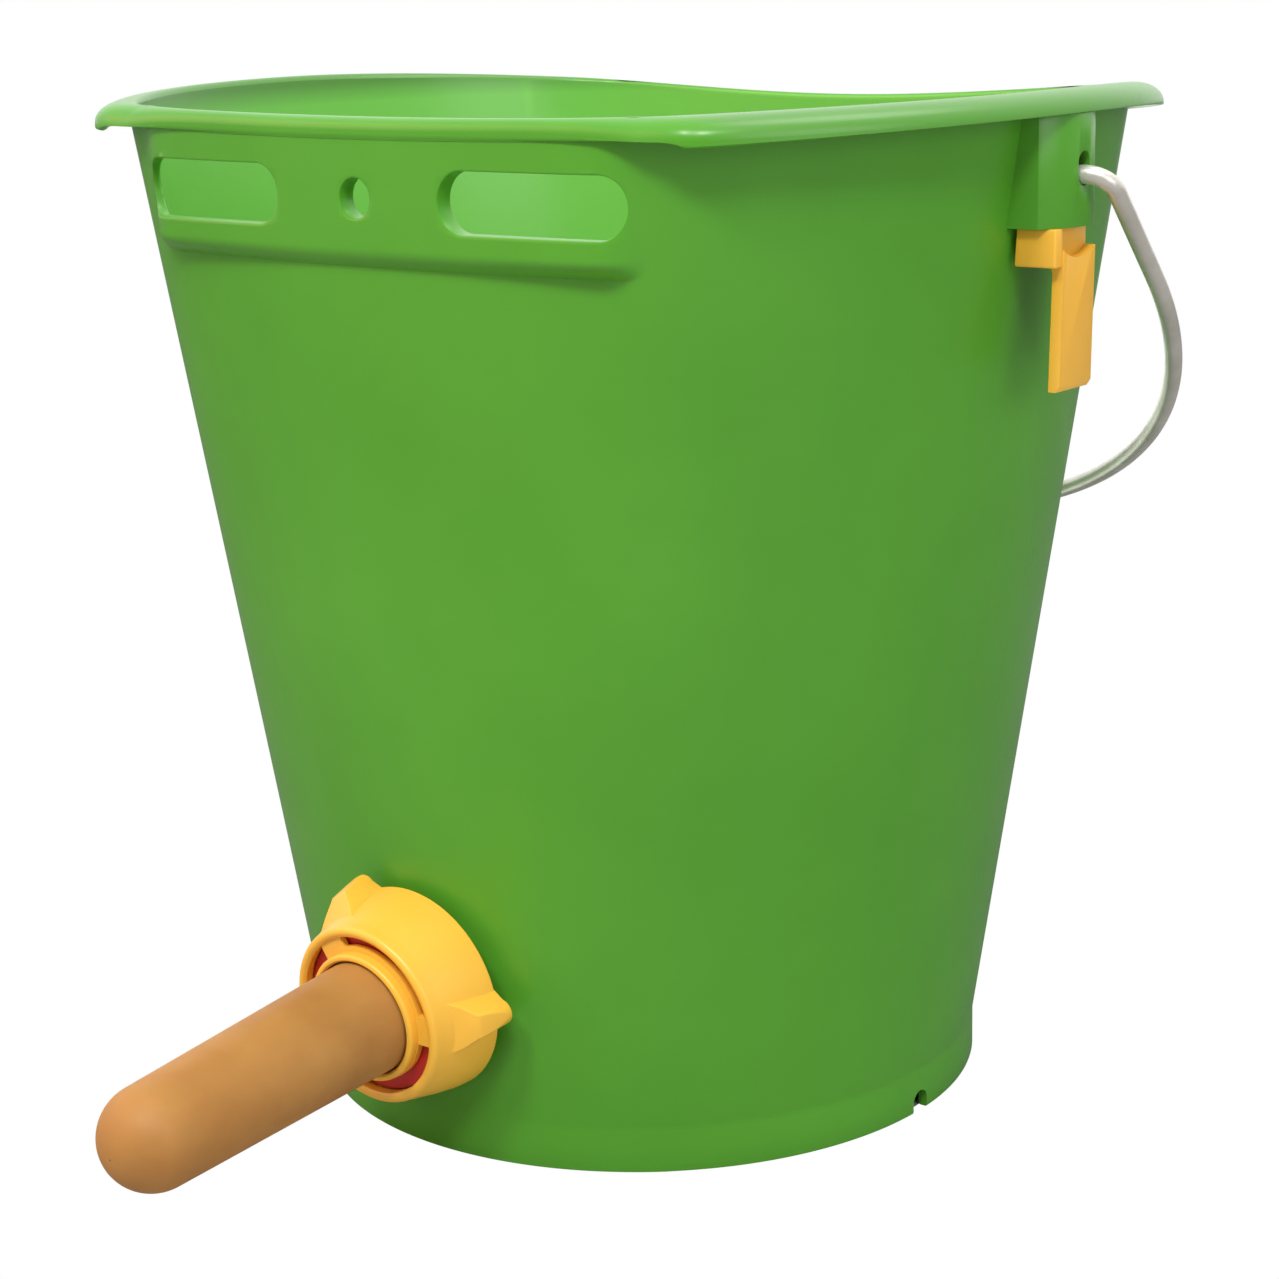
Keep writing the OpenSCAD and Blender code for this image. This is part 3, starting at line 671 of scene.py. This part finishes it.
def spigot():
    """Spigot behind the nut, with its three bayonet cams."""
    ring = spun([(SPIGOT_BORE, SPIGOT_ROOT), (SPIGOT_PAD_R, SPIGOT_ROOT), (SPIGOT_PAD_R, SPIGOT_PAD),
                 (SPIGOT_R, SPIGOT_PAD), (SPIGOT_R, SPIGOT_LEN), (SPIGOT_BORE, SPIGOT_LEN)])
    cams = []
    for turn in THIRDS:
        cam = bmesh.new()
        inside, end = SPIGOT_R - 1, CAM_U + CAM_LEN
        verts, edges = put_chain(cam, [(inside, 0, CAM_U), (CAM_R, 0, CAM_U), (CAM_R, 0, end),
                                       (inside, 0, end)])
        edges.append(cam.edges.new((verts[-1], verts[0])))
        first = cam.faces.new(verts)
        bmesh.ops.spin(cam, geom=[first], cent=(0, 0, 0), axis=(0, 0, 1),
                       angle=math.radians(CAM_ANGLE), steps=12)
        bmesh.ops.recalc_face_normals(cam, faces=cam.faces)
        cams.append(moved(cam, rotate(turn - CAM_ANGLE / 2, "Z")))
    return moved(joined(ring, *cams), ON_VALVE)


def drain_notch():
    outline = [(-NOTCH_R, -1), (NOTCH_R, -1)] + arc(0, NOTCH_Z, NOTCH_R, 0, 180, 16)
    return moved(extruded(outline, NOTCH_LONG), shift(BASE_R - NOTCH_IN, 0, 0) @ ALONG_X)


def at_window(edge):
    return all(v.co.y < WINDOW_Y and SLOT_LOW - 1 < v.co.z < SLOT_HIGH + 1 for v in edge.verts)


def bucket_shell():
    bm = spun([(PLAN_R + u, w) for u, w in shell_profile()], STEPS // 4, False, math.tau / 4)
    for axis in "XY":
        bmesh.ops.mirror(bm, geom=everything(bm), axis=axis, merge_dist=1e-3)
    open_windows(bm)
    for vert in bm.verts:
        vert.co = moulded(vert.co)
    bmesh.ops.remove_doubles(bm, verts=bm.verts, dist=1e-3)
    bmesh.ops.recalc_face_normals(bm, faces=bm.faces)
    round_edges(bm, WINDOW_ROUND, 2, 60, at_window)
    bore = spun([(0, BORE_FROM), (SPIGOT_BORE, BORE_FROM), (SPIGOT_BORE, BORE_TO), (0, BORE_TO)],
                closed=False)
    bm = cut(bm, moved(bore, ON_VALVE), drain_notch(), moved(drain_notch(), MIRROR))
    return joined(bm, ear(), moved(ear(), MIRROR), spigot())


# The bail: one wire, bent at the ears and bowed between them

PIN_IN = 2  # where the wire starts in the ear's pocket
END_T, END_ROUND, END_SLACK = 3.0, 1.0, 0.15  # the flattened ends: along the wire, edges, thinner


def bail():
    reach = math.sqrt(BAIL_HALF ** 2 + BOW_DROP ** 2 - BOW_R ** 2)
    lean = (math.radians(90) - math.atan2(BOW_DROP, BAIL_HALF)
            - math.asin(BOW_R / math.hypot(BAIL_HALF, BOW_DROP)))
    tangent = BEND_R * math.tan(math.radians(45) + lean / 2)
    pin_end = BAIL_HALF - tangent
    start = POCKET_X + PIN_IN
    bm = bmesh.new()
    ring = bmesh.ops.create_circle(bm, cap_ends=True, segments=24, radius=WIRE_R,
                                   matrix=shift(start, 0, 0) @ rotate(90, "Y"))
    loop = list({e for v in ring["verts"] for e in v.link_edges})

    def drawn(edges, step):
        made = bmesh.ops.extrude_edge_only(bm, edges=edges)["geom"]
        bmesh.ops.translate(bm, vec=step, verts=verts_of(made))
        return [e for e in edges_of(made) if e.is_boundary]

    def bent(edges, centre, angle, steps):
        geom = edges + list({v for e in edges for v in e.verts})
        made = bmesh.ops.spin(bm, geom=geom, cent=centre, axis=(0, 0, 1), angle=angle, steps=steps)
        return edges_of(made["geom_last"])

    loop = drawn(loop, (pin_end - start, 0, 0))
    loop = bent(loop, (pin_end, BEND_R, 0), math.radians(90) + lean, 14)
    leg = Vector((-math.sin(lean), math.cos(lean), 0))
    for _ in range(3):
        loop = drawn(loop, leg * (reach - tangent) / 3)
    bent(loop, (0, BOW_DROP, 0), math.radians(90) - lean, 60)
    bmesh.ops.mirror(bm, geom=everything(bm), axis="X", merge_dist=0.01)
    bmesh.ops.recalc_face_normals(bm, faces=bm.faces)
    thick = WIRE_R - END_SLACK
    for side in (Matrix.Identity(4), MIRROR):
        end = extruded([(-END_R, -thick), (END_R, -thick), (END_R, thick), (-END_R, thick)], END_T)
        round_edges(end, END_ROUND, 3)
        bm = joined(bm, moved(end, side @ shift(start, 0, 0) @ ALONG_X))
    return moved(bm, shift(0, -EAR_FRONT, BAIL_Z) @ rotate(BAIL_REST - 90, "X"))


# The hanging hooks, with a broader arm and a lower dip than the solids, as photographed

ARM_W, ARM_LEAN = HOOK_W + 1.0, 0.6
CHEEK_W, CHEEK_AHEAD, CHEEK_IN = 3.5, 1.2, 0.4  # the arm's front part, which covers the tongue
TONGUE_W, TONGUE_TOP, TONGUE_LEAN = HOOK_W - 0.6, EAR_Z - 1.2, 0.8
DIP_LOWER = 2
PLUG_CLEAR = 0.2
HOOK_ROUND, TONGUE_ROUND = 0.5, 0.55
SOFT_BELOW = EAR_Z - 6  # the tongue's edges are round below the dip


def slab(points, width):
    """A prism over an outline in XZ, with its middle on Y = 0."""
    return moved(extruded(points, width), shift(0, width / 2, 0) @ ALONG_Y)


def hook_clip():
    arm_x, outer = column_at(SIDE_COL, True).radii(EAR_Z)[0] + ARM_GAP, EAR_X - TONGUE_IN
    inner, arm_z = outer - TONGUE_T, EAR_Z - ARM_H
    low = arm_z - TONGUE_LEN

    def arm(end, width):
        back = [(arm_x, EAR_Z), (arm_x - ARM_LEAN, arm_z)]
        return round_edges(slab(back + [(end, arm_z), (end, EAR_Z)], width), HOOK_ROUND, 3, 35)

    tongue = slab([(inner - 0.3, arm_z - 0.4), (inner, arm_z - 1.4), (inner - TONGUE_LEAN, low),
                   (outer - TONGUE_LEAN - 1, low), (outer - TONGUE_LEAN, low + 1.5),
                   (outer, TONGUE_TOP), (inner, TONGUE_TOP)], TONGUE_W)
    dip = spun([(0, -1), (DIP_R, -1), (DIP_R, 6), (0, 6)], 128, closed=False)
    moved(dip, shift(inner, 0, EAR_Z + DIP_R - DIP_DEPTH - DIP_LOWER) @ rotate(90, "Y"))
    tongue = cut(tongue, dip)
    round_edges(tongue, TONGUE_ROUND, 3, 35, lambda e: any(v.co.z < SOFT_BELOW for v in e.verts))
    broad, cheek = arm(inner, ARM_W), arm(outer - CHEEK_IN, CHEEK_W)
    moved(cheek, shift(0, -HOOK_W / 2 - CHEEK_AHEAD, 0))
    plan = pocket_plan(POCKET_W / 2 - PLUG_CLEAR, EAR_BOW - EAR_T - PLUG_CLEAR,
                       POCKET_X + PLUG_CLEAR)
    plug = moved(extruded(plan, PLUG_H + 1), shift(0, 0, EAR_Z - 1))
    return moved(joined(broad, cheek, tongue, plug), shift(0, -EAR_FRONT, 0))


# The bayonet nut

SKIRT = ((-0.4, 0), (0, 0.5), (-0.3, 4), (-1.3, 9))  # its crowned side, off the back edge
SHOULDER = ((1.3, -4.5), (0.6, -2.2))  # the side's front end, off the front edge
RING_W, RING_ROUND = 2.2, 1.5  # the round ring at the front edge
FACE_U = NUT_LEN - 1.0  # face of the spokes, behind the ring
COLLAR_ROUND, BORE_EDGE = 0.9, 0.5
LEDGES = (1.3, 0.2, 0.2)  # what is left around the collar in each window
LUG_ROOT, LUG_SIDE, LUG_TIP_R, LUG_ROUND = 21.8, NUT_R - 1, 3.3, 0.7
LUG_SPREAD = (0.86, 0.62)  # half widths at the root and the side, as shares of LUG_W
LUG_SLOPES = (((LUG_R, 0, 1.5), (0.970, 0, 0.243)), ((LUG_R - 2, 0, 9.6), (0.62, 0, 0.785)))
LUG_FREE = 23  # the lug is clear of the nut's body from here outwards


def window_gap(turn, ledge):
    """What a window takes out of the nut's face."""
    inside, outside = COLLAR_R + ledge, NUT_FRONT_R - RING_W
    a, b = (math.degrees(math.asin(SPOKE_W / 2 / r)) for r in (inside, outside))
    outline = arc(0, 0, outside, b, 120 - b, 24) + arc(0, 0, inside, 120 - a, a, 24)
    gap = extruded(outline, NUT_FRONT_T + 2)
    return moved(gap, rotate(turn, "Z") @ shift(0, 0, NUT_FACE_U - 1))


def lug(turn):
    """A half-round grip ridge that slopes towards the front, with a knee."""
    root, side = (LUG_W * share for share in LUG_SPREAD)
    made = extruded([(LUG_ROOT, -root), (LUG_SIDE, -side)]
                    + arc(LUG_R - LUG_TIP_R, 0, LUG_TIP_R, -78, 78, 12)
                    + [(LUG_SIDE, side), (LUG_ROOT, root)], NUT_FACE_U - 2 - NUT_BACK)
    for place, way in LUG_SLOPES:
        top = bmesh.ops.bisect_plane(made, geom=everything(made), plane_co=place, plane_no=way,
                                     clear_outer=True)["geom_cut"]
        bmesh.ops.holes_fill(made, edges=edges_of(top))
    bmesh.ops.recalc_face_normals(made, faces=made.faces)
    round_edges(made, LUG_ROUND, 3, 25, lambda e: all(v.co.x > LUG_FREE for v in e.verts))
    return moved(made, rotate(turn, "Z") @ shift(0, 0, NUT_BACK))


def valve_nut():
    rim, front, bore = NUT_FRONT_R, NUT_LEN + COLLAR_H, TEAT_R + TURN_CLEAR
    shape = [(NUT_BORE, NUT_BACK)]
    shape += [(NUT_R + a, NUT_BACK + b) for a, b in SKIRT]
    shape += [(rim + a, NUT_LEN + b) for a, b in SHOULDER]
    shape += [(rim - 1.0 + a, NUT_LEN - RING_ROUND + b) for a, b in arc(0, 0, RING_ROUND, 10, 90, 6)]
    shape += [(rim - 1.7, NUT_LEN - 0.15), (rim - RING_W, NUT_LEN - 0.7), (rim - RING_W, FACE_U),
              (COLLAR_R, FACE_U)]
    shape += [(COLLAR_R - COLLAR_ROUND + a, front - COLLAR_ROUND + b)
              for a, b in arc(0, 0, COLLAR_ROUND, 0, 90, 5)]
    shape += [(bore + BORE_EDGE, front), (bore, front - BORE_EDGE), (bore, NUT_FACE_U),
              (NUT_BORE, NUT_FACE_U)]
    body = cut(spun(shape, 192), *(window_gap(turn, ledge) for turn, ledge in zip(THIRDS, LEDGES)))
    return moved(joined(body, *(lug(turn) for turn in THIRDS)), ON_VALVE)


# The teat

SHUT_R = 0.3  # the rubber closes round its hole while nothing sucks
SHUT_DEPTH, OPEN_DEPTH = 1.5, 2.2  # how deep it is closed, and from where it is wide
TAPER = (0.08, 0.2, 0.4, 0.6, 0.8)  # rows from the flange to the tip
FLANGE_IN, FLANGE_SLACK = 2.0, 0.15  # the flange in its cup: off the bottom, and smaller around


def teat():
    tip = NUT_LEN + TEAT_LEN
    centre = tip - TEAT_TIP_R
    back, flange_r = CUP_U + FLANGE_IN, COLLAR_R - FLANGE_SLACK
    outer_lean = math.degrees(math.asin(SHUT_R / TEAT_TIP_R))
    inner_r = TEAT_TIP_R - TEAT_T
    inner_lean = math.degrees(math.asin(TEAT_HOLE_R / inner_r))
    shape = [(TEAT_R - TEAT_T, back), (flange_r, back), (flange_r, CUP_END), (TEAT_R, CUP_END)]
    shape += [(mix(TEAT_R, TEAT_TIP_R, t), mix(CUP_END, centre, t)) for t in TAPER]
    shape += [(a, centre + b) for a, b in arc(0, 0, TEAT_TIP_R, 0, 90 - outer_lean, 24)]
    shape += [(SHUT_R, tip - SHUT_DEPTH), (TEAT_HOLE_R, tip - OPEN_DEPTH)]
    shape += [(a, centre + b) for a, b in arc(0, 0, inner_r, 90 - inner_lean, 0, 10)]
    return moved(spun(shape, 128), ON_VALVE)


piece(bucket_shell(), "shell", GREEN, "bucket", "green_plastic", "bucket_shell")
piece(bail(), "wire_bail", WIRE, "bail", "bail_wire", "bail_handle")
piece(hook_clip(), "clip_right", YELLOW, "bucket", "yellow_plastic", "hook_clip_right")
piece(moved(hook_clip(), MIRROR), "clip_left", YELLOW, "bucket", "yellow_plastic", "hook_clip_left")
piece(valve_nut(), "bayonet_nut", YELLOW, "nut", "yellow_plastic", "valve_nut")
piece(teat(), "rubber_teat", TAN, "bucket", "tan_rubber", "teat")
for name, look in (("valve_insert", RED), ("valve_seal", BLACK), ("valve_flap", YELLOW)):
    mesh = frame["nodes"][name].data
    mesh.materials.clear()
    mesh.materials.append(look)


# Floor, light and camera

WHITE = (1, 1, 1, 1)
FLOOR_HALF = 6  # metres
PAPER, PAPER_MIRRORED = (0.48, 0.48, 0.48), (0.18, 0.18, 0.18)  # the second in the bucket's gloss
GLARE = 2.2  # strength of the lit floor behind the bucket, in its gloss
BEHIND, BEHIND_SPAN = (-0.626, 0.779, 0), (0.92, 0.985)  # level way from the camera, and the share
TENT_WAY, TENT_SPAN, TENT = (-0.60, 0.74, 0.30), (-0.8, 0.9), (0.18, 1.3)  # brightest behind, above


def floor():
    """Paper, white for the camera, whose lit part behind the bucket shows in the gloss."""
    bm = bmesh.new()
    bmesh.ops.create_grid(bm, x_segments=1, y_segments=1, size=FLOOR_HALF)
    obj = as_object(bm, "floor")
    made, tree, out = blank_material("floor")
    seen = tree.nodes.new("ShaderNodeLightPath").outputs
    place = tree.nodes.new("ShaderNodeTexCoord").outputs["Object"]
    reach = node(tree, "ShaderNodeVectorMath", {0: place}, operation="LENGTH").outputs["Value"]
    beyond = maths(tree, "GREATER_THAN", reach, (BASE_R - WALL_T) * MM)
    shown = maths(tree, "MULTIPLY", seen["Is Camera Ray"], beyond)
    back = ramp(tree, dot(tree, outward(tree, place), BEHIND), *BEHIND_SPAN)
    mirrored = maths(tree, "MULTIPLY", seen["Is Glossy Ray"], back)
    tone = blend(tree, seen["Is Glossy Ray"], PAPER, PAPER_MIRRORED)
    paper = node(tree, "ShaderNodeBsdfDiffuse", {"Color": tone})
    strength = ramp(tree, seen["Is Glossy Ray"], 0.0, 1.0, (1.0, GLARE))
    white = node(tree, "ShaderNodeEmission", {"Color": WHITE, "Strength": strength})
    either = node(tree, "ShaderNodeMixShader",
                  {"Fac": maths(tree, "MAXIMUM", shown, mirrored), 1: paper.outputs["BSDF"],
                   2: white.outputs["Emission"]})
    feed(tree, out, either.outputs["Shader"])
    obj.data.materials.append(made)


def lamp(name, place, target, size, power, colour=(1, 1, 1)):
    light = bpy.data.lights.new(name, "AREA")
    light.shape = "DISK"
    light.size = size
    light.energy = power
    light.color = colour
    obj = bpy.data.objects.new(name, light)
    obj.location = place
    obj.rotation_euler = (Vector(target) - Vector(place)).to_track_quat("-Z", "Y").to_euler()
    bpy.context.scene.collection.objects.link(obj)


def world():
    """White for the camera, and for all other rays brightest behind and above the bucket."""
    made = bpy.data.worlds.new("studio")
    made.use_nodes = True
    tree = made.node_tree
    tree.nodes.clear()
    out = tree.nodes.new("ShaderNodeOutputWorld").inputs["Surface"]
    way = tree.nodes.new("ShaderNodeTexCoord").outputs["Generated"]
    seen = tree.nodes.new("ShaderNodeLightPath").outputs["Is Camera Ray"]
    level = ramp(tree, dot(tree, way, TENT_WAY), *TENT_SPAN, TENT)
    tent = node(tree, "ShaderNodeBackground", {"Color": WHITE, "Strength": level})
    backdrop = node(tree, "ShaderNodeBackground", {"Color": WHITE, "Strength": 1.0})
    either = node(tree, "ShaderNodeMixShader", {"Fac": seen, 1: tent.outputs["Background"],
                                                2: backdrop.outputs["Background"]})
    feed(tree, out, either.outputs["Shader"])
    bpy.context.scene.world = made


# The camera, worked out from the photograph: its place in metres, its angles in degrees, and its
# focal length and the shift of its middle in pixels of the photograph
CAMERA_AT = (0.4585, -0.5706, 0.3012)
CAMERA_TURN, CAMERA_PITCH, CAMERA_ROLL = 38.783, 14.082, -1.432
PHOTO_W, FOCAL, SHIFT_X, SHIFT_Y, SENSOR = 1279, 2744.85, -1.24, -4.70, 36


def camera():
    turn, pitch, roll = (math.radians(a) for a in (CAMERA_TURN, CAMERA_PITCH, CAMERA_ROLL))
    ahead = Vector((-math.sin(turn) * math.cos(pitch), math.cos(turn) * math.cos(pitch),
                    -math.sin(pitch)))
    level = Vector((math.cos(turn), math.sin(turn), 0))
    upright = level.cross(ahead)
    right = level * math.cos(roll) + upright * math.sin(roll)
    up = upright * math.cos(roll) - level * math.sin(roll)
    data = bpy.data.cameras.new("camera")
    data.sensor_width = SENSOR
    data.lens = SENSOR * FOCAL / PHOTO_W
    data.shift_x, data.shift_y = SHIFT_X / PHOTO_W, SHIFT_Y / PHOTO_W
    data.clip_start, data.clip_end = 0.01, 50
    obj = bpy.data.objects.new("camera", data)
    pose = Matrix((right, up, -ahead)).transposed().to_4x4()
    pose.translation = CAMERA_AT
    obj.matrix_world = pose
    bpy.context.scene.collection.objects.link(obj)
    bpy.context.scene.camera = obj


floor()
lamp("key", (0.05, -1.16, 1.56), (0, -0.02, 0.13), 0.35, 13)
lamp("side", (0.72, -0.95, 1.50), (0, 0, 0.16), 0.4, 15)
lamp("front", (1.35, -0.35, 0.60), (0, 0, 0.12), 0.8, 4.6)
lamp("fill", (-1.1, -0.9, 0.9), (0, 0, 0.12), 1.2, 8, (1.0, 0.60, 0.30))
lamp("overhead", (0.35, 0.40, 1.50), (0, 0, 0.2), 0.7, 5.2)
world()
camera()
bpy.context.scene.view_settings.view_transform = "Standard"
